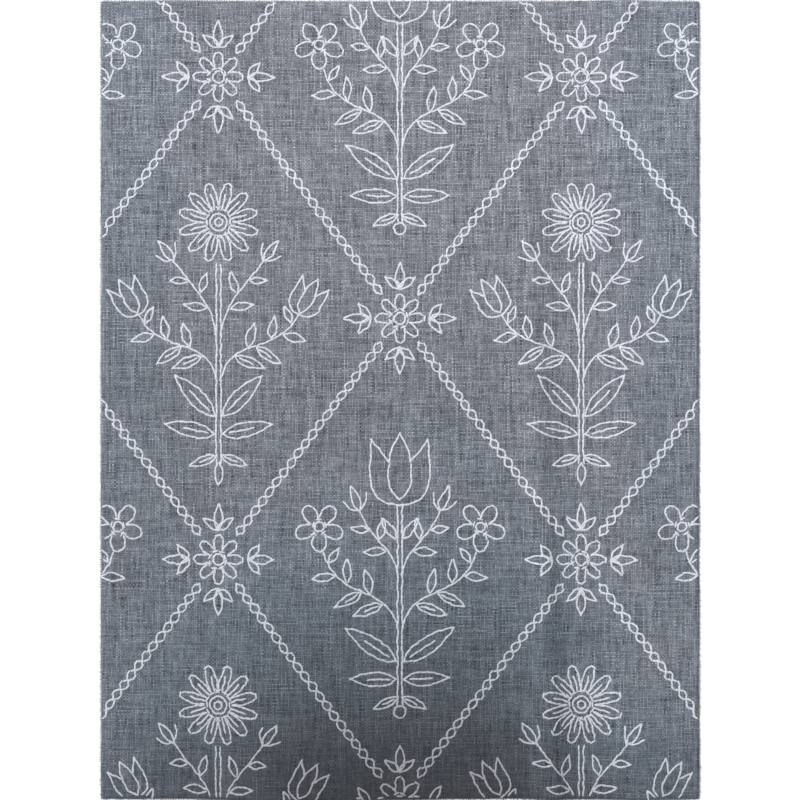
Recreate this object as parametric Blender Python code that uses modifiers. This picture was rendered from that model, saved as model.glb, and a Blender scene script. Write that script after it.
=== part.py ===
"""A cut length of embroidered sheer voile, lying face up on a flat surface in soft folds.

The cloth is one piece. Its width runs along X and its length along Y, and where it touches the surface
its underside is flat on z = 0. Each fold is a soft ridge that runs along the length and leans a little.
"""

import math
from collections import namedtuple

import bpy

# Driving dimensions, in metres
CLOTH_WIDTH = 0.330
CLOTH_LENGTH = 0.440
CLOTH_THICKNESS = 0.001

# Number of cells that carry the folds, across the width and along the length
COLUMNS = 82
ROWS = 28

# The crest of a fold runs from x_head at the far edge to x_foot at the near edge, and the cloth slopes down
# from it over left_slope and right_slope. The fold starts at y_flat and has its full height from y_full on.
Fold = namedtuple("Fold", "x_head x_foot left_slope right_slope y_flat y_full height")
SHARP_FOLD = Fold(0.068, 0.082, 0.014, 0.017, 0.440, -0.220, 0.0030)
RIGHT_SWELL = Fold(0.126, 0.136, 0.034, 0.028, 0.150, -0.200, 0.0046)
NEAR_SWELL = Fold(-0.040, -0.066, 0.058, 0.106, -0.020, -0.220, 0.0088)
FAR_LEFT_RIPPLE = Fold(-0.122, -0.100, 0.030, 0.046, 0.050, 0.220, 0.0028)
FAR_RIGHT_RIPPLE = Fold(0.124, 0.150, 0.026, 0.032, 0.110, 0.220, 0.0032)
FOLDS = (SHARP_FOLD, RIGHT_SWELL, NEAR_SWELL, FAR_LEFT_RIPPLE, FAR_RIGHT_RIPPLE)

VOILE_COLOUR = (0.235, 0.258, 0.292, 1.0)
VOILE_ROUGHNESS = 0.9


def clear_scene():
    for obj in list(bpy.data.objects):
        bpy.data.objects.remove(obj, do_unlink=True)


def voile_material():
    material = bpy.data.materials.new("slate_voile")
    material.use_nodes = True
    shader = material.node_tree.nodes["Principled BSDF"]
    shader.inputs["Base Color"].default_value = VOILE_COLOUR
    shader.inputs["Roughness"].default_value = VOILE_ROUGHNESS
    shader.inputs["Metallic"].default_value = 0.0
    return material


def smooth_step(share):
    """0 up to a share of 0, 1 from a share of 1, and an even S between them."""
    share = min(max(share, 0.0), 1.0)
    return share * share * (3.0 - 2.0 * share)


def crest_x(fold, y):
    return fold.x_head + (fold.x_foot - fold.x_head) * (0.5 - y / CLOTH_LENGTH)


def fold_height(fold, x, y):
    """How far one fold lifts the cloth at a point, with a rounded crest and a rounded foot on each side."""
    offset = x - crest_x(fold, y)
    across = offset / fold.right_slope if offset > 0.0 else -offset / fold.left_slope
    if across >= 1.0:
        return 0.0
    rise = fold.height * smooth_step((y - fold.y_flat) / (fold.y_full - fold.y_flat))
    return rise * 0.5 * (1.0 + math.cos(math.pi * across))


def leaning_x(x, y):
    """Shift the columns of cells sideways with the sharp fold, so that they follow its crest."""
    middle = crest_x(SHARP_FOLD, 0.0)
    edge = math.copysign(0.5 * CLOTH_WIDTH, x - middle)
    share = (edge - x) / (edge - middle)
    return x + (crest_x(SHARP_FOLD, y) - middle) * share


def voile_length(material):
    """The underside is a grid that the folds lift, and Solidify gives the cloth its thickness upwards."""
    bpy.ops.mesh.primitive_grid_add(x_subdivisions=COLUMNS, y_subdivisions=ROWS, size=1.0)
    cloth = bpy.context.object
    cloth.name = "voile_length"
    cloth.data.name = "voile_length"
    for vertex in cloth.data.vertices:
        y = vertex.co.y * CLOTH_LENGTH
        x = leaning_x(vertex.co.x * CLOTH_WIDTH, y)
        vertex.co = (x, y, sum(fold_height(fold, x, y) for fold in FOLDS))
    cloth.data.materials.append(material)
    cloth.data.shade_smooth()
    thickness = cloth.modifiers.new("thickness", "SOLIDIFY")
    thickness.thickness = CLOTH_THICKNESS
    thickness.offset = 1.0
    return cloth


def main():
    clear_scene()
    collection = bpy.data.collections.new("embroidered_voile")
    bpy.context.scene.collection.children.link(collection)
    cloth = voile_length(voile_material())
    for owner in list(cloth.users_collection):
        owner.objects.unlink(cloth)
    collection.objects.link(cloth)


main()
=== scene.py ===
import math
import bpy
import numpy as np
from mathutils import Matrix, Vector


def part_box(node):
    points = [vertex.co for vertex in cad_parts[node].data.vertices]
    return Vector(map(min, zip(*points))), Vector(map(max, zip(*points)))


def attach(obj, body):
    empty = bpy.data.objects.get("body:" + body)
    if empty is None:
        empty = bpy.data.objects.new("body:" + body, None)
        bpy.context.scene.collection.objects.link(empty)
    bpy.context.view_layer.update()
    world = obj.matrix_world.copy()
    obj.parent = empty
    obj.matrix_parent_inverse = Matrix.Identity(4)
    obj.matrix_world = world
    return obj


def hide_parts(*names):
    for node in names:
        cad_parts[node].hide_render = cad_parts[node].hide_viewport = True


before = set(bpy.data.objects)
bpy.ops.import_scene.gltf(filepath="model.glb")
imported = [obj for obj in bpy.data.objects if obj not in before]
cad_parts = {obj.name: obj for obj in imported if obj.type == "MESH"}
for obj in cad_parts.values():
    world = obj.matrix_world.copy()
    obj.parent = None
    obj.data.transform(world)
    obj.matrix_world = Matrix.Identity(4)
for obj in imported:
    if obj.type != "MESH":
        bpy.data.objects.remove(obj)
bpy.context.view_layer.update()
mm = 0.001
clothLow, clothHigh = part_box("voile_length")
halfWidth = round(clothHigh.x, 3)
halfLength = round(clothHigh.y, 3)
print("frame loaded, cloth", halfWidth * 2, "by", halfLength * 2, "m")


# Helpers for node trees

def plug(tree, value, socket):
    if isinstance(value, bpy.types.NodeSocket):
        tree.links.new(value, socket)
    else:
        socket.default_value = value


def addNode(tree, kind, inputs=None, **settings):
    node = tree.nodes.new(kind)
    for key, value in settings.items():
        setattr(node, key, value)
    for key, value in (inputs or {}).items():
        plug(tree, value, node.inputs[key])
    return node


def calc(tree, operation, *values):
    node = addNode(tree, "ShaderNodeMath", operation=operation)
    for socket, value in zip(node.inputs, values):
        plug(tree, value, socket)
    return node.outputs[0]


def joinXyz(tree, x, y, z=0.0):
    return addNode(tree, "ShaderNodeCombineXYZ", {"X": x, "Y": y, "Z": z}).outputs[0]


def scaled(tree, vector, share):
    return addNode(tree, "ShaderNodeVectorMath", {0: vector, 3: share}, operation="SCALE").outputs[0]


def ramp(tree, value, low, high, toLow=0.0, toHigh=1.0, curve="SMOOTHSTEP"):
    inputs = {"Value": value, "From Min": low, "From Max": high, "To Min": toLow, "To Max": toHigh}
    return addNode(tree, "ShaderNodeMapRange", inputs, interpolation_type=curve).outputs["Result"]


def noise(tree, vector, scale, detail=2.0, rough=0.5):
    inputs = {"Vector": vector, "Scale": scale, "Detail": detail, "Roughness": rough}
    return addNode(tree, "ShaderNodeTexNoise", inputs).outputs["Fac"]


def mixColour(tree, share, first, second, blend="MIX"):
    node = addNode(tree, "ShaderNodeMix", data_type="RGBA", blend_type=blend)
    for place, value in zip((0, 6, 7), (share, first, second)):
        plug(tree, value, node.inputs[place])
    return node.outputs[2]


def newMaterial(name, **fixed):
    material = bpy.data.materials.new(name)
    material.use_nodes = True
    shader = material.node_tree.nodes["Principled BSDF"]
    for key, value in fixed.items():
        shader.inputs[key.replace("_", " ")].default_value = value
    return material, material.node_tree, shader


def randomValue(tree, seed, low=0.0, high=1.0, kind="FLOAT"):
    node = addNode(tree, "FunctionNodeRandomValue", {"Seed": seed}, data_type=kind)
    lowSocket, highSocket, result = (2, 3, 1) if kind == "FLOAT" else (0, 1, 0)
    plug(tree, low, node.inputs[lowSocket])
    plug(tree, high, node.inputs[highSocket])
    return node.outputs[result]


def newTree(name, inputs):
    tree = bpy.data.node_groups.new(name, "GeometryNodeTree")
    for label, kind in [("Geometry", "Geometry"), *inputs]:
        tree.interface.new_socket(name=label, in_out="INPUT", socket_type="NodeSocket" + kind)
    tree.interface.new_socket(name="Geometry", in_out="OUTPUT", socket_type="NodeSocketGeometry")
    return tree, addNode(tree, "NodeGroupInput").outputs


def endTree(tree, instances, attributes, material):
    for name, value in attributes.items():
        named = {"Geometry": instances, "Name": name, "Value": value}
        stored = addNode(tree, "GeometryNodeStoreNamedAttribute", named, data_type="FLOAT", domain="INSTANCE")
        instances = stored.outputs[0]
    real = addNode(tree, "GeometryNodeRealizeInstances", {"Geometry": instances})
    dressed = addNode(tree, "GeometryNodeSetMaterial", {"Geometry": real.outputs[0], "Material": material})
    addNode(tree, "NodeGroupOutput", {"Geometry": dressed.outputs[0]})
    return tree


def addToScene(name, data):
    item = bpy.data.objects.new(name, data)
    bpy.context.scene.collection.objects.link(item)
    return item


# The folds: the same places and sizes as the solid's, in metres, and finer ripples of the cloth's own

folds = [
    # crest x at the far and near edge, left slope, right slope, y where flat, y where full, height
    (0.068, 0.082, 0.014, 0.017, 0.440, -0.220, 0.0030),     # the sharp fold, along the whole length
    (0.126, 0.136, 0.034, 0.028, 0.150, -0.200, 0.0046),     # swell by the right edge
    (-0.040, -0.066, 0.058, 0.106, -0.020, -0.220, 0.0088),  # broad swell at the near edge
    (-0.122, -0.100, 0.030, 0.046, 0.050, 0.220, 0.0028),    # ripple in the far left corner
    (0.124, 0.150, 0.026, 0.032, 0.110, 0.220, 0.0032),      # ripple in the far right corner
    (0.066, 0.086, 0.009, 0.007, 0.400, -0.220, 0.0013),     # the crease on the sharp fold, finer than the solid's
]
ripples = [
    # wave length, direction in degrees, phase, height
    (0.061, 8.0, 0.4, 0.16 * mm),
    (0.043, 97.0, 2.1, 0.12 * mm),
    (0.029, 21.0, 4.0, 0.08 * mm),
    (0.019, 84.0, 1.2, 0.05 * mm),
]


def crestX(fold, y):
    return fold[0] + (fold[1] - fold[0]) * (0.5 - y / (2 * halfLength))


def foldHeight(x, y):
    height = np.zeros_like(x)
    for fold in folds:
        left, right, yFlat, yFull, rise = fold[2:]
        offset = x - crestX(fold, y)
        across = np.minimum(np.where(offset > 0, offset / right, -offset / left), 1.0)
        share = np.clip((y - yFlat) / (yFull - yFlat), 0.0, 1.0)
        height += rise * share * share * (3 - 2 * share) * 0.5 * (1 + np.cos(math.pi * across))
    return height


def rippleHeight(x, y):
    height = np.zeros_like(x)
    for length, degrees, phase, rise in ripples:
        turn = math.radians(degrees)
        along = x * math.cos(turn) + y * math.sin(turn)
        height += rise * (1 + np.sin(2 * math.pi * along / length + phase))
    return height


def underside(x, y):
    return foldHeight(x, y) + rippleHeight(x, y)


# The voile: plain weave of slubbed yarns, a little see-through between them

voile = {
    "columns": 164,
    "rows": 216,
    "thickness": 0.4 * mm,
    "edgeWander": 0.25 * mm,      # how far the cut edge strays from a straight line
    "yarnPitch": 0.92 * mm,
    "unevenness": 2.4 * mm,       # how far yarns stray from even spacing
    "unevenAcross": 110.0,        # how often that changes in a metre across the yarns, and along them
    "unevenAlong": 15.0,
    "slubRun": 27.0 * mm,         # length over which a yarn swells and thins
    "warpContrast": 4.9,          # how much the yarns differ in tone
    "weftContrast": 3.9,
    "speck": 0.20,                # and the single crossings
    "mauveGrey": (0.289, 0.288, 0.312, 1.0),
    "tealGrey": (0.2365, 0.270, 0.313, 1.0),
    "blueTouch": (0.0, 0.0107, 0.0261),          # added to light and dark yarns alike
    "gapShade": 0.28,
    "gapAlpha": 0.50,
    "relief": 0.25 * mm,
    # painted shade, darker towards the near edge, and painted light on the right: places along x or y, in metres, and
    # shares
    "slowFall": (0.190, -0.080, 0.775),
    "nearFall": (-0.150, -0.235, 0.60),
    # painted light: the ground a little lighter towards the right
    "rightPaintedLight": (0.060, 0.170, 1.0, 1.07),
    # painted shade: a darker V in the middle of the near part
    "hollowLeft": (-0.195, -0.030),
    "hollowRight": (0.160, 0.030),
    "hollowDown": (-0.050, -0.215),
    "hollowShadeDepth": 0.68,
    "tealSides": (0.060, 0.165, 0.05, 0.55),      # distance from the middle line, and share of the teal grey
    "tealShade": (0.95, 0.58, 0.05, 0.95),        # nearShade's value, and share of the teal grey that the painted shade takes on
}


def yarnSet(tree, across, along, shift, contrast):
    # One set of yarns side by side: which yarn, how much it covers, its roundness, its tone, its bend over a crossing;
    # roundness and bend give painted shade as well as relief
    yarn = calc(tree, "DIVIDE", across, voile["yarnPitch"])
    index = calc(tree, "FLOOR", yarn)
    offset = calc(tree, "ABSOLUTE", calc(tree, "SUBTRACT", calc(tree, "SUBTRACT", yarn, index), 0.5))
    run = calc(tree, "DIVIDE", along, voile["slubRun"])
    slub = noise(tree, joinXyz(tree, calc(tree, "MULTIPLY", index, 5.37), run, shift), 1.0, 3.0, 0.8)
    half = ramp(tree, slub, 0.35, 0.65, 0.33, 0.50, "LINEAR")
    cover = ramp(tree, calc(tree, "SUBTRACT", half, offset), -0.05, 0.05)
    rounded = ramp(tree, calc(tree, "DIVIDE", offset, half), 1.0, 0.2, 0.6, 1.0)
    tone = calc(tree, "MULTIPLY_ADD", calc(tree, "SUBTRACT", slub, 0.5), contrast, 1.0)
    bend = calc(tree, "COSINE", calc(tree, "MULTIPLY", offset, math.pi))
    return {"index": index, "cover": cover, "rounded": rounded, "tone": tone, "bend": bend}


def yarnPlaces(tree, place):
    # Places along x and y as the unevenly laid yarns count them, then the true ones
    split = addNode(tree, "ShaderNodeSeparateXYZ", {"Vector": place})
    x, y = split.outputs["X"], split.outputs["Y"]
    counted = []
    for across, along in ((x, y), (y, x)):
        field = joinXyz(tree, calc(tree, "MULTIPLY", across, voile["unevenAcross"]),
                        calc(tree, "MULTIPLY", along, voile["unevenAlong"]))
        stray = calc(tree, "SUBTRACT", noise(tree, field, 1.0, 2.0), 0.5)
        counted.append(calc(tree, "MULTIPLY_ADD", stray, voile["unevenness"], across))
    return *counted, x, y


def shown(tree, top, under, onTop):
    # How much of one set shows: all of it where it is on top, else only beside the other set
    hidden = calc(tree, "MULTIPLY", under["cover"], calc(tree, "SUBTRACT", 1.0, onTop))
    return calc(tree, "MULTIPLY", top["cover"], calc(tree, "SUBTRACT", 1.0, hidden))


def nearShade(tree, x, y):
    # Painted shade: the ground darkens towards the near edge, most of all in its middle, and painted light makes it a
    # little lighter on the right
    shade = ramp(tree, x, *voile["rightPaintedLight"])
    for start, end, share in (voile["slowFall"], voile["nearFall"]):
        shade = calc(tree, "MULTIPLY", shade, ramp(tree, y, start, end, 1.0, share))
    sides = calc(tree, "MULTIPLY", ramp(tree, x, *voile["hollowLeft"]), ramp(tree, x, *voile["hollowRight"]))
    hollow = calc(tree, "MULTIPLY", sides, ramp(tree, y, *voile["hollowDown"]))
    return calc(tree, "MULTIPLY", shade, ramp(tree, hollow, 0.0, 1.0, 1.0, 1.0 - voile["hollowShadeDepth"], "LINEAR"))


def groundColour(tree, place, x, y, shade):
    # Mauve grey in the middle, teal grey at the sides and where the painted near-edge shade is deep, times the yarn's
    # shade, then darkened by that painted shade
    near = nearShade(tree, x, y)
    patch = ramp(tree, noise(tree, place, 30.0, 3.0, 0.65), 0.3, 0.7, -0.12, 0.12)
    side = ramp(tree, calc(tree, "ABSOLUTE", x), *voile["tealSides"])
    teal = calc(tree, "ADD", calc(tree, "MAXIMUM", side, ramp(tree, near, *voile["tealShade"])), patch)
    hue = mixColour(tree, teal, voile["mauveGrey"], voile["tealGrey"])
    blued = {0: scaled(tree, hue, shade), 1: voile["blueTouch"]}
    return scaled(tree, addNode(tree, "ShaderNodeVectorMath", blued, operation="ADD").outputs[0], near)


def voileMaterial():
    material, tree, shader = newMaterial("slateVoile", Roughness=0.85, Sheen_Weight=0.2, Sheen_Roughness=0.5)
    place = addNode(tree, "ShaderNodeTexCoord").outputs["Object"]
    countedX, countedY, x, y = yarnPlaces(tree, place)
    warp = yarnSet(tree, countedX, y, 3.0, voile["warpContrast"])
    weft = yarnSet(tree, countedY, x, 57.0, voile["weftContrast"])
    warpOnTop = calc(tree, "FLOORED_MODULO", calc(tree, "ADD", warp["index"], weft["index"]), 2.0)
    shade, relief, cover = 0.0, 0.0, 0.0
    for top, under, onTop in ((warp, weft, warpOnTop), (weft, warp, calc(tree, "SUBTRACT", 1.0, warpOnTop))):
        share = shown(tree, top, under, onTop)
        # painted shade: a yarn is darker towards its sides and where it bends under the crossing yarn; lit also drives
        # the bump
        lit = calc(tree, "MULTIPLY", top["rounded"], ramp(tree, under["bend"], 0.0, 1.0, 0.65, 1.0, "LINEAR"))
        shade = calc(tree, "MULTIPLY_ADD", share, calc(tree, "MULTIPLY", lit, top["tone"]), shade)
        relief = calc(tree, "MULTIPLY_ADD", share, lit, relief)
        cover = calc(tree, "ADD", share, cover)
    gap = calc(tree, "SUBTRACT", 1.0, cover)
    # painted shade in the gaps between the yarns
    shade = calc(tree, "MULTIPLY_ADD", gap, voile["gapShade"], shade)
    crossing = {"Vector": joinXyz(tree, warp["index"], weft["index"])}
    speck = addNode(tree, "ShaderNodeTexWhiteNoise", crossing, noise_dimensions="3D").outputs["Value"]
    shade = calc(tree, "MULTIPLY", shade, ramp(tree, speck, 0, 1, 1 - voile["speck"], 1 + voile["speck"], "LINEAR"))
    cloud = ramp(tree, noise(tree, place, 70.0, 3.0, 0.6), 0.2, 0.8, 0.95, 1.05, "LINEAR")
    colour = groundColour(tree, place, x, y, calc(tree, "MULTIPLY", shade, cloud))
    plug(tree, colour, shader.inputs["Base Color"])
    plug(tree, ramp(tree, gap, 0.0, 1.0, 1.0, voile["gapAlpha"], "LINEAR"), shader.inputs["Alpha"])
    bump = {"Strength": 0.6, "Distance": voile["relief"], "Height": relief}
    plug(tree, addNode(tree, "ShaderNodeBump", bump).outputs["Normal"], shader.inputs["Normal"])
    return material


def edgeWander(run, phase):
    waves = ((0.083, 0.5), (0.031, 0.3), (0.0124, 0.2))    # wave length and share
    return voile["edgeWander"] * sum(share * np.sin(2 * math.pi * run / length + phase) for length, share in waves)


def makeVoile():
    gridU, gridV = np.meshgrid(np.linspace(-1, 1, voile["columns"] + 1), np.linspace(-1, 1, voile["rows"] + 1))
    x = gridU * (halfWidth - voile["edgeWander"])
    y = gridV * (halfLength - voile["edgeWander"])
    x = x + np.abs(gridU) ** 12 * edgeWander(gridV * halfLength, 3.0 + gridU)
    y = y + np.abs(gridV) ** 12 * edgeWander(gridU * halfWidth, 5.0 + gridV)
    lean = crestX(folds[0], y) - crestX(folds[0], 0.0)      # the columns follow the sharp fold's crest
    x = x + lean * (1 - gridU * gridU)
    points = np.stack([x, y, underside(x, y)], -1).reshape(-1, 3)
    across = voile["columns"] + 1
    start = (np.arange(voile["rows"])[:, None] * across + np.arange(voile["columns"])[None, :]).ravel()
    faces = np.stack([start, start + 1, start + across + 1, start + across], -1)
    mesh = bpy.data.meshes.new("voile_cloth")
    mesh.from_pydata(points.tolist(), [], faces.tolist())
    mesh.shade_smooth()
    mesh.materials.append(voileMaterial())
    cloth = addToScene("voile_cloth", mesh)
    thick = cloth.modifiers.new("thickness", "SOLIDIFY")
    thick.thickness = voile["thickness"]
    thick.offset = 1.0
    return cloth


voileCloth = makeVoile()
print("voile made,", len(voileCloth.data.vertices), "points")


# Laying small things on the cloth

def drape(mesh, lift):
    # Every point rises by the height of the cloth under it
    co = np.empty(len(mesh.vertices) * 3, np.float32)
    mesh.vertices.foreach_get("co", co)
    co = co.reshape(-1, 3).astype(float)
    x = np.clip(co[:, 0], -halfWidth, halfWidth)
    y = np.clip(co[:, 1], -halfLength, halfLength)
    co[:, 2] += underside(x, y) + lift
    mesh.vertices.foreach_set("co", co.astype(np.float32).ravel())
    mesh.update()


def grow(host, name, tree, values, lift):
    # Runs a node tree on its host, keeps the result as a plain mesh and drapes it
    worked = host.modifiers.new("grown", "NODES")
    worked.node_group = tree
    for item in tree.interface.items_tree:
        if item.in_out == "INPUT" and item.name in values:
            worked[item.identifier] = values[item.name]
    graph = bpy.context.evaluated_depsgraph_get()
    mesh = bpy.data.meshes.new_from_object(host.evaluated_get(graph), preserve_all_data_layers=True, depsgraph=graph)
    bpy.data.objects.remove(host)
    mesh.name = name
    drape(mesh, lift)
    print(name, "has", len(mesh.polygons), "faces")
    return addToScene(name, mesh)


def loftedSeed(name, stations, profile, uvName=None):
    # A small closed body: the profile scaled at each station along X
    count = len(profile)
    points, marks, faces = [], [], []
    for along, wide, tall in stations:
        points += [(along, across * wide, up * tall) for across, up in profile]
        marks += [(along, across) for across, up in profile]
    for s in range(len(stations) - 1):
        for k in range(count):
            a, b = s * count + k, s * count + (k + 1) % count
            faces.append((a, a + count, b + count, b))
    faces.append(tuple(range(count)))
    last = (len(stations) - 1) * count
    faces.append(tuple(reversed(range(last, last + count))))
    mesh = bpy.data.meshes.new(name)
    mesh.from_pydata(points, [], faces)
    if uvName:
        reach = stations[-1][0]
        layer = mesh.uv_layers.new(name=uvName)
        for loop in mesh.loops:
            along, across = marks[loop.vertex_index]
            layer.data[loop.index].uv = (along / reach * 0.5 + 0.5, across * 0.5 + 0.5)
    mesh.shade_smooth()
    return addToScene(name, mesh)


# Drawing with a needle: a motif is a list of strokes, each the points of a line in millimetres and whether it closes

def bezier(start, pull, push, end, steps=25):
    t = np.linspace(0, 1, steps)[:, None]
    a, b, c, d = (np.array(p, float) for p in (start, pull, push, end))
    return (1 - t) ** 3 * a + 3 * (1 - t) ** 2 * t * b + 3 * (1 - t) * t * t * c + t ** 3 * d


def mirrored(points):
    return points * np.array([1.0, -1.0])


def heading(line, share):
    # A point on a stem, and the stem's direction there in degrees
    k = min(round(share * (len(line) - 1)), len(line) - 2)
    way = line[k + 1] - line[k]
    return line[k + 1] if share == 1 else line[k], math.degrees(math.atan2(way[1], way[0]))


def turned(points, degrees, centre=(0.0, 0.0)):
    a = math.radians(degrees)
    spin = np.array([[math.cos(a), math.sin(a)], [-math.sin(a), math.cos(a)]])
    return np.asarray(points, float) @ spin + np.array(centre, float)


def scalloped(centre, petals, inner, outer, start=0.0, power=0.75):
    a = np.linspace(0, 2 * math.pi, petals * 14, endpoint=False)
    r = inner + (outer - inner) * np.abs(np.sin(petals * a / 2)) ** power
    a = a + math.radians(start)
    return [(np.stack([np.cos(a), np.sin(a)], -1) * r[:, None] + np.array(centre, float), True)]


def ring(centre, radius):
    return scalloped(centre, 2, radius, radius)


def leaf(base, degrees, length, width, vein=0.62):
    side = bezier((0, 0), (0.22 * length, 0.72 * width), (0.68 * length, 0.55 * width), (length, 0), 12)
    strokes = [(turned(side, degrees, base), False), (turned(mirrored(side), degrees, base), False)]
    if vein:
        strokes.append((turned([(0.14 * length, 0), (vein * length, 0)], degrees, base), False))
    return strokes


def sprouts(line, leaves):
    # Leaves along a stem: share of the stem, lean from its direction in degrees, length, width
    strokes = []
    for share, lean, length, width in leaves:
        point, degrees = heading(line, share)
        base = turned([(1.3, 0)], degrees + lean, point)[0]
        strokes += leaf(base, degrees + lean, length, width, 0.6 if length > 15 else 0)
    return strokes


def daisy(centre, petals, inner, outer, start=0.0, vein=0.0):
    strokes = scalloped(centre, petals, inner, outer, start) + ring(centre, inner * 0.72)
    if vein:
        line = [(inner * 1.15, 0), (inner + (outer - inner) * vein, 0)]
        strokes += [(turned(line, start + (k + 0.5) * 360 / petals, centre), False) for k in range(petals)]
    return strokes


def tulip(base, degrees, wide, tall):
    # Half of a three-tipped flower, in shares of its height and half width, then the other half
    lines = [
        [(0.00, 0.00), (0.02, 1.25), (0.50, 1.00), (1.00, 0.95)],      # outer petal
        [(1.00, 0.95), (0.88, 0.74), (0.74, 0.50), (0.66, 0.36)],      # down from its tip
        [(0.66, 0.36), (0.84, 0.32), (1.00, 0.14), (1.10, 0.00)],      # middle petal
        [(0.08, 0.00), (0.20, 0.42), (0.45, 0.44), (0.62, 0.34)],      # its foot
    ]
    strokes = []
    for line in lines:
        half = bezier(*line) * np.array([tall, wide])
        strokes += [(turned(half, degrees, base), False), (turned(mirrored(half), degrees, base), False)]
    return strokes


def bud(base, degrees, length):
    sepal = bezier((0, 0), (0.10, 0.30), (0.35, 0.42), (0.55, 0.46), 8) * length
    sepals = [(turned(sepal, degrees, base), False), (turned(mirrored(sepal), degrees, base), False)]
    return leaf(base, degrees, length, length * 0.34, 0) + sepals


def stem(line, strands=1, gap=2.5):
    along = np.gradient(line, axis=0)
    side = np.stack([-along[:, 1], along[:, 0]], -1) / np.linalg.norm(along, axis=1)[:, None]
    return [(line + side * (k - (strands - 1) / 2) * gap, False) for k in range(strands)]


def upright(low, high):
    return stem(np.array([(0.0, low), (0.0, high)]), 2)


def bothSides(strokes):
    return strokes + [(points * np.array([-1.0, 1.0]), closed) for points, closed in strokes]


def placed(strokes, x, y):
    return [(points + np.array([x, y]), closed) for points, closed in strokes]


sideLeaves = [
    # share of the stem, lean in degrees, length, width
    (0.26, -58, 17, 5.6),
    (0.40, 54, 13, 4.8),
    (0.52, -52, 16, 5.4),
    (0.66, 56, 12, 4.6),
    (0.78, -54, 12, 4.6),
    (0.90, 60, 9, 3.8),
]
budLeaves = [(0.34, -56, 12, 4.6), (0.56, 54, 11, 4.2), (0.76, -50, 9, 3.8)]


def tulipSprig():
    low = bezier((1.2, -38), (6, -12), (34, -24), (42, 4))
    high = bezier((1.2, -8), (5, 10), (15, 8), (22, 27))
    side = stem(low) + sprouts(low, sideLeaves) + daisy((44.5, 18), 5, 3.4, 13.5, 18)
    side += stem(high) + sprouts(high, budLeaves) + bud(*heading(high, 1), 14)
    side += leaf((2.2, -56), 34, 33, 9.6) + leaf((2.2, -66), 2, 25, 7.8) + leaf((1.5, -76), -24, 14, 5)
    side += leaf((2.0, 12), 52, 13, 4.6, 0)
    return bothSides(side) + upright(-80, 30) + tulip((0, 30), 90, 16.5, 36) + ring((0, -83.5), 3.2)


def daisySprig():
    low = bezier((1.2, -34), (6, -8), (32, -22), (44, 2))
    high = bezier((1.2, -10), (4, 10), (12, 14), (25, 32))
    side = stem(low) + sprouts(low, sideLeaves) + tulip(*heading(low, 1), 8.8, 20)
    side += stem(high) + sprouts(high, budLeaves) + bud(*heading(high, 1), 13)
    side += leaf((2.2, -54), 46, 31, 9.2) + leaf((2.2, -64), 12, 28, 8.4) + leaf((1.5, -76), -20, 15, 5)
    whole = bothSides(side) + upright(-80, 30) + leaf((0, -80), -90, 12, 4.6, 0)
    return whole + daisy((0, 53), 12, 6.4, 22, 0, 0.6) + ring((0, 53), 2.0)


def rosette():
    whole = daisy((0, 0), 8, 4.2, 13.5, 22.5)
    for degrees in (0, 90, 180, 270):
        base = turned([(16.5, 0)], degrees)[0]
        for lean, length, width in ((0, 14, 5.0), (52, 10, 4.0), (-52, 10, 4.0)):
            whole += leaf(base, degrees + lean, length, width, 0)
    return whole


trellis = {
    "halfWide": 100.0,      # half the width of a lozenge, in millimetres
    "halfTall": 133.0,
    "shiftY": 45.0,
    "clear": 17.0,          # plain cloth left round a crossing
    "link": 6.6,            # length of one link
    "swing": 2.1,           # how far a strand swings to each side
    "reach": 3,             # crossings drawn each way from the middle
}


def crossings():
    steps = range(-trellis["reach"], trellis["reach"] + 1)
    return [(a, b, a * trellis["halfWide"], b * trellis["halfTall"] + trellis["shiftY"]) for a in steps for b in steps]


def repeated(strokes, wanted):
    return [stroke for a, b, x, y in crossings() if wanted(a, b) for stroke in placed(strokes, x, y)]


def linkLine(start, end):
    start, span = np.array(start, float), np.array(end, float) - np.array(start, float)
    length = np.linalg.norm(span)
    along = span / length
    free = length - 2 * trellis["clear"]
    links = round(free / trellis["link"])
    t = np.linspace(0, 1, links * 8 + 1)
    middle = start + along * (trellis["clear"] + t * free)[:, None]
    swing = np.array([-along[1], along[0]]) * (np.sin(math.pi * links * t) * trellis["swing"])[:, None]
    return [(middle + swing, False), (middle - swing, False)]


def trellisStrokes():
    strokes = []
    for a, b, x, y in crossings():
        if (a + b) % 2 == 0:
            for way in (1, -1):
                strokes += linkLine((x, y), (x + way * trellis["halfWide"], y + trellis["halfTall"]))
    return strokes


# The embroidery: chain stitch in chalk-white thread

thread = {
    "stitchLength": 2.8 * mm,
    "halfWidth": 0.62 * mm,
    "height": 0.52 * mm,
    "overlap": 1.34,          # each stitch reaches into its neighbours
    "endTrim": 1.1,           # an open line stops this many millimetres short, as its end stitches reach past it
    "sink": 0.12 * mm,
    "stray": 0.28 * mm,       # how far the needle misses the drawn line
    "turnScatter": 7.0,       # degrees
    "edgeClear": 1.4 * mm,
    "deepening": 0.5,        # power of nearShade, so that the painted shade dims the thread less than the ground
    "bright": (0.815, 0.83, 0.905, 1.0),
    "dull": (0.64, 0.66, 0.735, 1.0),
    "stations": [
        # share of the length, of the half width and of the height
        (-0.50, 0.42, 0.30),
        (-0.26, 0.90, 0.86),
        (0.00, 1.00, 1.00),
        (0.28, 0.94, 0.90),
        (0.50, 0.38, 0.35),
    ],
    "profile": [(-1.0, 0.0), (-0.6, 1.0), (0.0, 0.52), (0.6, 1.0), (1.0, 0.0)],   # two strands and the dip between
}


def makeStitch():
    length = thread["stitchLength"] * thread["overlap"]
    sizes = [(along * length, wide * thread["halfWidth"], tall * thread["height"])
             for along, wide, tall in thread["stations"]]
    return loftedSeed("stitch", sizes, thread["profile"], "threadUV")


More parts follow.
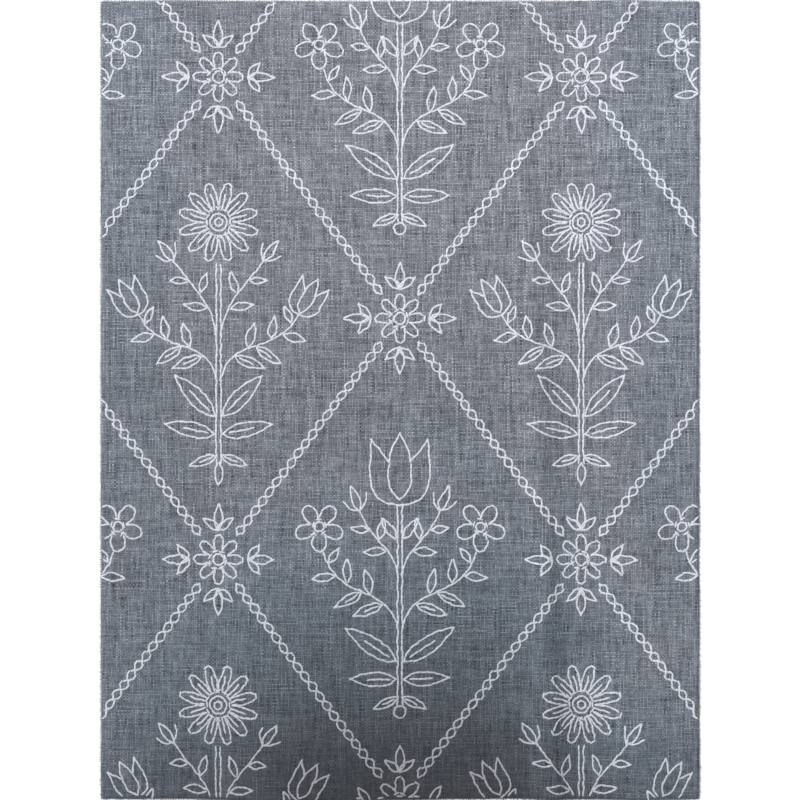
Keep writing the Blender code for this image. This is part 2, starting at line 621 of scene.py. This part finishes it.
def chainStitchTree():
    tree, given = newTree("chainStitch", [
        ("Stitch", "Object"), ("Stitch length", "Float"), ("Stray", "Float"), ("Half width of cloth", "Float"),
        ("Half length of cloth", "Float"), ("Turn scatter", "Float"), ("Seed", "Int"), ("Thread", "Material"),
    ])
    length = addNode(tree, "GeometryNodeSplineLength").outputs["Length"]
    stitches = calc(tree, "CEIL", calc(tree, "DIVIDE", length, given["Stitch length"]))
    lines = {"Curve": given["Geometry"], "Count": calc(tree, "ADD", stitches, 1.0)}
    evenly = addNode(tree, "GeometryNodeResampleCurve", lines, mode="COUNT")
    missed = randomValue(tree, calc(tree, "ADD", given["Seed"], 17.0), (-1, -1, 0), (1, 1, 0), "FLOAT_VECTOR")
    off = scaled(tree, missed, given["Stray"])
    worked = addNode(tree, "GeometryNodeSetPosition", {"Geometry": evenly.outputs[0], "Offset": off})
    points = addNode(tree, "GeometryNodeCurveToPoints", {"Curve": worked.outputs[0]}, mode="EVALUATED")
    facing = addNode(tree, "FunctionNodeAlignRotationToVector", {"Vector": points.outputs["Tangent"]},
                     axis="X", pivot_axis="Z")
    turn = randomValue(tree, given["Seed"], calc(tree, "MULTIPLY", given["Turn scatter"], -1.0), given["Turn scatter"])
    spin = addNode(tree, "FunctionNodeAxisAngleToRotation", {"Axis": (0.0, 0.0, 1.0), "Angle": turn})
    facing = addNode(tree, "FunctionNodeRotateRotation", {"Rotation": facing.outputs[0], "Rotate By": spin.outputs[0]})
    least, most = (0.96, 0.84, 0.85), (1.04, 1.12, 1.12)      # a stitch's size, as shares along, across and up
    size = randomValue(tree, calc(tree, "ADD", given["Seed"], 7.0), least, most, "FLOAT_VECTOR")
    where = addNode(tree, "ShaderNodeSeparateXYZ", {"Vector": addNode(tree, "GeometryNodeInputPosition").outputs[0]})
    insideX = calc(tree, "LESS_THAN", calc(tree, "ABSOLUTE", where.outputs["X"]), given["Half width of cloth"])
    insideY = calc(tree, "LESS_THAN", calc(tree, "ABSOLUTE", where.outputs["Y"]), given["Half length of cloth"])
    stitched = addNode(tree, "GeometryNodeInstanceOnPoints", {
        "Points": points.outputs["Points"],
        "Selection": calc(tree, "MULTIPLY", insideX, insideY),
        "Instance": addNode(tree, "GeometryNodeObjectInfo", {"Object": given["Stitch"]}).outputs["Geometry"],
        "Rotation": facing.outputs[0],
        "Scale": size,
    })
    tone = randomValue(tree, calc(tree, "ADD", given["Seed"], 11.0))
    return endTree(tree, stitched.outputs[0], {"stitchTone": tone}, given["Thread"])


def threadMaterial():
    material, tree, shader = newMaterial("chalkThread", Roughness=0.5, Sheen_Weight=0.3, Sheen_Roughness=0.4)
    onThread = addNode(tree, "ShaderNodeUVMap", uv_map="threadUV").outputs[0]
    split = addNode(tree, "ShaderNodeSeparateXYZ", {"Vector": onThread})
    # painted shade: slanted stripes of the twist darken the thread between its plies, mixed with each stitch's own
    # tone
    slant = calc(tree, "MULTIPLY_ADD", split.outputs["X"], 26.0, calc(tree, "MULTIPLY", split.outputs["Y"], 16.0))
    twist = calc(tree, "MULTIPLY_ADD", calc(tree, "SINE", slant), 0.5, 0.5)
    tone = addNode(tree, "ShaderNodeAttribute", attribute_name="stitchTone").outputs["Fac"]
    share = calc(tree, "MULTIPLY_ADD", twist, 0.35, calc(tree, "MULTIPLY", tone, 0.65))
    hue = mixColour(tree, share, thread["dull"], thread["bright"])
    place = addNode(tree, "ShaderNodeTexCoord").outputs["Object"]
    across = addNode(tree, "ShaderNodeSeparateXYZ", {"Vector": place}).outputs
    # painted shade from the near edge, weaker than on the ground
    deepened = calc(tree, "POWER", nearShade(tree, across["X"], across["Y"]), thread["deepening"])
    plug(tree, scaled(tree, hue, deepened), shader.inputs["Base Color"])
    bump = addNode(tree, "ShaderNodeBump", {"Strength": 0.5, "Distance": 0.08 * mm, "Height": twist})
    plug(tree, bump.outputs["Normal"], shader.inputs["Normal"])
    return material


def shortened(points, trim):
    steps = np.linalg.norm(np.diff(points, axis=0), axis=1)
    along = np.concatenate([[0.0], np.cumsum(steps)])
    kept = np.linspace(trim, along[-1] - trim, len(points))
    return np.stack([np.interp(kept, along, points[:, k]) for k in (0, 1)], -1)


def strokeCurve(name, strokes, trim=0.0):
    data = bpy.data.curves.new(name, "CURVE")
    data.dimensions = "3D"
    for points, closed in strokes:
        points = points if closed else shortened(points, trim)
        spline = data.splines.new("POLY")
        spline.points.add(len(points) - 1)
        flat = np.ones((len(points), 4), np.float32)
        flat[:, :2] = points * mm
        flat[:, 2] = 0.0
        spline.points.foreach_set("co", flat.ravel())
        spline.use_cyclic_u = closed
    return addToScene(name, data)


def embroider():
    stitch, tree, material = makeStitch(), chainStitchTree(), threadMaterial()
    designs = [
        ("chalk_trellis", trellisStrokes()),
        ("chalk_rosettes", repeated(rosette(), lambda a, b: (a + b) % 2 == 0)),
        ("chalk_tulip_sprigs", repeated(tulipSprig(), lambda a, b: (a + b) % 2 == 1 and b % 2 == 1)),
        ("chalk_daisy_sprigs", repeated(daisySprig(), lambda a, b: (a + b) % 2 == 1 and b % 2 == 0)),
    ]
    pieces = []
    for seed, (name, strokes) in enumerate(designs):
        values = {
            "Stitch": stitch,
            "Stitch length": thread["stitchLength"],
            "Stray": thread["stray"],
            "Half width of cloth": halfWidth - thread["edgeClear"],
            "Half length of cloth": halfLength - thread["edgeClear"],
            "Turn scatter": math.radians(thread["turnScatter"]),
            "Seed": seed,
            "Thread": material,
        }
        host = strokeCurve(name + "_lines", strokes, thread["endTrim"])
        pieces.append(grow(host, name, tree, values, voile["thickness"] - thread["sink"]))
    bpy.data.objects.remove(stitch)
    return pieces


embroidery = embroider()
print("embroidery worked in", len(embroidery), "pieces")


# Slubs: thick places in single yarns that stand a little proud of the weave

slubs = {
    "perSquareMetre": 15000.0,
    "length": (7.0 * mm, 22.0 * mm),
    "halfWidth": 0.40 * mm,
    "height": 0.16 * mm,
    "stray": 0.5,              # degrees off the yarn's direction
    "margin": 3.0 * mm,        # no slub has its middle closer to a cut edge
    "edgeClear": 0.8 * mm,     # nor its end closer than this
    "shades": (0.35, 1.30),    # from dark to light, as shares of the ground's colour
    "stations": [(-0.5, 0.2), (-0.32, 0.8), (-0.1, 1.0), (0.12, 0.95), (0.33, 0.75), (0.5, 0.2)],
    "profile": [(-1.0, 0.0), (-0.45, 0.9), (0.45, 0.9), (1.0, 0.0)],
}


def slubTree():
    tree, given = newTree("slubYarns", [
        ("Slub", "Object"), ("Density", "Float"), ("Shortest", "Float"), ("Longest", "Float"), ("Stray", "Float"),
        ("Furthest across", "Float"), ("Furthest along", "Float"), ("Seed", "Int"), ("Yarn", "Material"),
    ])
    spread = addNode(tree, "GeometryNodeDistributePointsOnFaces",
                     {"Mesh": given["Geometry"], "Density": given["Density"], "Seed": given["Seed"]})
    seeds = [calc(tree, "ADD", given["Seed"], k) for k in (1.0, 2.0, 3.0, 4.0, 5.0)]
    inWarp = calc(tree, "ROUND", randomValue(tree, seeds[1]))      # 1 in a warp yarn, 0 in a weft yarn
    inWeft = calc(tree, "SUBTRACT", 1.0, inWarp)
    countedX, countedY, x, y = yarnPlaces(tree, addNode(tree, "GeometryNodeInputPosition").outputs[0])
    toYarn = []                                                    # from each point to the middle of its yarn
    for line, wanted in ((countedX, inWarp), (countedY, inWeft)):
        place = calc(tree, "DIVIDE", line, voile["yarnPitch"])
        short = calc(tree, "SUBTRACT", calc(tree, "ADD", calc(tree, "FLOOR", place), 0.5), place)
        toYarn.append(calc(tree, "MULTIPLY", calc(tree, "MULTIPLY", short, voile["yarnPitch"]), wanted))
    length = randomValue(tree, seeds[0], given["Shortest"], given["Longest"])
    for line, furthest, other in ((y, "Furthest along", inWeft), (x, "Furthest across", inWarp)):
        room = calc(tree, "SUBTRACT", given[furthest], calc(tree, "ABSOLUTE", line))
        room = calc(tree, "ADD", calc(tree, "MULTIPLY", room, 2.0), other)      # no limit across its own yarn
        length = calc(tree, "MINIMUM", length, room)
    inYarns = addNode(tree, "GeometryNodeSetPosition",
                      {"Geometry": spread.outputs["Points"], "Offset": joinXyz(tree, *toYarn)})
    stray = randomValue(tree, seeds[2], calc(tree, "MULTIPLY", given["Stray"], -1.0), given["Stray"])
    turn = calc(tree, "MULTIPLY_ADD", inWarp, math.pi / 2, stray)
    spin = addNode(tree, "FunctionNodeAxisAngleToRotation", {"Axis": (0.0, 0.0, 1.0), "Angle": turn})
    wide = randomValue(tree, seeds[3], 0.7, 1.15)
    laid = addNode(tree, "GeometryNodeInstanceOnPoints", {
        "Points": inYarns.outputs[0],
        "Instance": addNode(tree, "GeometryNodeObjectInfo", {"Object": given["Slub"]}).outputs["Geometry"],
        "Rotation": spin.outputs[0],
        "Scale": joinXyz(tree, length, wide, wide),
    })
    attributes = {"yarnTone": randomValue(tree, seeds[4]), "yarnWay": calc(tree, "SUBTRACT", inWeft, inWarp)}
    return endTree(tree, laid.outputs[0], attributes, given["Yarn"])


def yarnMaterial(name, shades):
    material, tree, shader = newMaterial(name, Roughness=0.85, Sheen_Weight=0.2, Sheen_Roughness=0.5)
    place = addNode(tree, "ShaderNodeTexCoord").outputs["Object"]
    countedX, countedY, x, y = yarnPlaces(tree, place)
    waves = [calc(tree, "SINE", calc(tree, "MULTIPLY", line, math.pi / voile["yarnPitch"]))
             for line in (countedX, countedY)]
    way, tone = (addNode(tree, "ShaderNodeAttribute", attribute_name=name).outputs["Fac"]
                 for name in ("yarnWay", "yarnTone"))
    over = calc(tree, "MULTIPLY", calc(tree, "MULTIPLY", *waves), way)      # above 0 where it passes over a yarn
    # painted shade where the slub bends under a crossing yarn; bend also drives the bump
    bend = ramp(tree, over, -0.2, 0.8, 0.70, 1.0)
    fuzz = calc(tree, "MULTIPLY", calc(tree, "SUBTRACT", noise(tree, place, 900.0, 3.0, 0.7), 0.5), 0.8)
    shade = ramp(tree, calc(tree, "ADD", tone, fuzz), 0.0, 1.0, *shades, "LINEAR")
    colour = groundColour(tree, place, x, y, calc(tree, "MULTIPLY", shade, bend))
    plug(tree, colour, shader.inputs["Base Color"])
    plug(tree, ramp(tree, over, -0.30, -0.05), shader.inputs["Alpha"])       # hidden where a yarn crosses over it
    bump = addNode(tree, "ShaderNodeBump", {"Strength": 0.5, "Distance": 0.1 * mm, "Height": bend})
    plug(tree, bump.outputs["Normal"], shader.inputs["Normal"])
    return material


def makeSlubs():
    seedYarn = loftedSeed("slub", [(along, share * slubs["halfWidth"], share * slubs["height"])
                                   for along, share in slubs["stations"]], slubs["profile"])
    mesh = bpy.data.meshes.new("slub_ground")
    wide, tall = halfWidth - slubs["margin"], halfLength - slubs["margin"]
    mesh.from_pydata([(-wide, -tall, 0), (wide, -tall, 0), (wide, tall, 0), (-wide, tall, 0)], [], [(0, 1, 2, 3)])
    values = {
        "Slub": seedYarn,
        "Density": slubs["perSquareMetre"],
        "Shortest": slubs["length"][0],
        "Longest": slubs["length"][1],
        "Stray": math.radians(slubs["stray"]),
        "Furthest across": halfWidth - slubs["edgeClear"],
        "Furthest along": halfLength - slubs["edgeClear"],
        "Seed": 21,
        "Yarn": yarnMaterial("slubYarn", slubs["shades"]),
    }
    piece = grow(addToScene("slub_ground", mesh), "slub_yarns", slubTree(), values, voile["thickness"] - 0.04 * mm)
    bpy.data.objects.remove(seedYarn)
    return piece


slubYarns = makeSlubs()


# Yarn ends along the four cut edges

yarnEnds = {
    "spacing": 0.92 * mm,
    "length": 1.3 * mm,
    "halfWidth": 0.25 * mm,
    "height": 0.30 * mm,
    "shrink": 0.5,             # shortest end as a share of the longest
    "splay": 9.0,              # degrees
    "tuck": 0.5 * mm,          # how far an end starts inside the edge
    "shades": (0.75, 1.25),
    "stations": [(0.0, 1.0), (0.4, 1.0), (0.8, 0.85), (1.0, 0.5)],
    "profile": [(-1.0, 0.5), (-0.5, 0.95), (0.5, 0.95), (1.0, 0.5), (0.0, 0.0)],
}


def yarnEndTree():
    tree, given = newTree("yarnEnds", [
        ("End", "Object"), ("Spacing", "Float"), ("Shortest share", "Float"), ("Splay", "Float"), ("Seed", "Int"),
        ("Yarn", "Material"),
    ])
    lines = {"Curve": given["Geometry"], "Length": given["Spacing"]}
    evenly = addNode(tree, "GeometryNodeResampleCurve", lines, mode="LENGTH")
    points = addNode(tree, "GeometryNodeCurveToPoints", {"Curve": evenly.outputs[0]}, mode="EVALUATED")
    outward = addNode(tree, "ShaderNodeVectorMath", {0: points.outputs["Tangent"], 1: (0.0, 0.0, 1.0)},
                      operation="CROSS_PRODUCT").outputs[0]
    facing = addNode(tree, "FunctionNodeAlignRotationToVector", {"Vector": outward}, axis="X", pivot_axis="Z")
    seed = given["Seed"]
    turn = randomValue(tree, seed, calc(tree, "MULTIPLY", given["Splay"], -1.0), given["Splay"])
    spin = addNode(tree, "FunctionNodeAxisAngleToRotation", {"Axis": (0.0, 0.0, 1.0), "Angle": turn})
    facing = addNode(tree, "FunctionNodeRotateRotation", {"Rotation": facing.outputs[0], "Rotate By": spin.outputs[0]})
    length = randomValue(tree, calc(tree, "ADD", seed, 1.0), given["Shortest share"], 1.0)
    laid = addNode(tree, "GeometryNodeInstanceOnPoints", {
        "Points": points.outputs["Points"],
        "Instance": addNode(tree, "GeometryNodeObjectInfo", {"Object": given["End"]}).outputs["Geometry"],
        "Rotation": facing.outputs[0],
        "Scale": joinXyz(tree, length, 1.0, 1.0),
    })
    tone = randomValue(tree, calc(tree, "ADD", seed, 2.0))
    return endTree(tree, laid.outputs[0], {"yarnTone": tone}, given["Yarn"])


def makeYarnEnds():
    end = loftedSeed("yarn_end", [(along * yarnEnds["length"], share * yarnEnds["halfWidth"], share * yarnEnds["height"])
                                  for along, share in yarnEnds["stations"]], yarnEnds["profile"])
    wide, tall = (halfWidth - yarnEnds["tuck"]) / mm, (halfLength - yarnEnds["tuck"]) / mm
    border = np.array([(-wide, -tall), (wide, -tall), (wide, tall), (-wide, tall)])
    values = {
        "End": end,
        "Spacing": yarnEnds["spacing"],
        "Shortest share": yarnEnds["shrink"],
        "Splay": math.radians(yarnEnds["splay"]),
        "Seed": 31,
        "Yarn": yarnMaterial("cutYarn", yarnEnds["shades"]),
    }
    piece = grow(strokeCurve("cloth_border", [(border, True)]), "cut_yarn_ends", yarnEndTree(), values, 0.1 * mm)
    bpy.data.objects.remove(end)
    return piece


cutYarnEnds = makeYarnEnds()


# Floor, light and camera

studio = {
    "lens": 80.0,
    "frameTall": 2 * halfLength * 800 / 797,     # the cloth fills the picture's height
    "floorSize": 40.0,
    "floorDrop": 0.3 * mm,
    "floorColour": (0.93, 0.93, 0.935, 1.0),
    "roomColour": (0.93, 0.955, 1.0, 1.0),
    "roomStrength": 0.40,
}


def makeFloor():
    bpy.ops.mesh.primitive_plane_add(size=studio["floorSize"], location=(0, 0, -studio["floorDrop"]))
    floor = bpy.context.object
    floor.name = "floor"
    material, tree, shader = newMaterial("paleFloor", Roughness=0.7)
    shader.inputs["Base Color"].default_value = studio["floorColour"]
    floor.data.materials.append(material)
    return floor


def addLight(name, kind, place, power, colour, **settings):
    # It shines from its place on the middle of the cloth
    data = bpy.data.lights.new(name, kind)
    data.energy = power
    data.color = colour
    for key, value in settings.items():
        setattr(data, key, value)
    light = addToScene(name, data)
    light.location = place
    light.rotation_euler = Vector(place).to_track_quat("Z", "Y").to_euler()


def makeCamera():
    data = bpy.data.cameras.new("camera")
    data.lens = studio["lens"]
    camera = addToScene("camera", data)
    camera.location = (0, 0, studio["frameTall"] * data.lens / data.sensor_width)
    bpy.context.scene.camera = camera


def makeRoom():
    world = bpy.data.worlds.new("paleRoom")
    world.use_nodes = True
    background = world.node_tree.nodes["Background"]
    background.inputs["Color"].default_value = studio["roomColour"]
    background.inputs["Strength"].default_value = studio["roomStrength"]
    bpy.context.scene.world = world
    bpy.context.scene.view_settings.view_transform = "Standard"


floor = makeFloor()
addLight("key", "SUN", (-3.4, 2.6, 4.6), 2.9, (1.0, 0.985, 0.965), angle=math.radians(20))
addLight("fill", "AREA", (0.5, 0.1, 1.1), 1.6, (0.94, 0.965, 1.0), shape="DISK", size=0.6)
makeRoom()
makeCamera()
print("studio set")

onCloth = [*embroidery, slubYarns, cutYarnEnds]
for piece in [voileCloth, *onCloth]:
    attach(piece, "root")
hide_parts("voile_length")
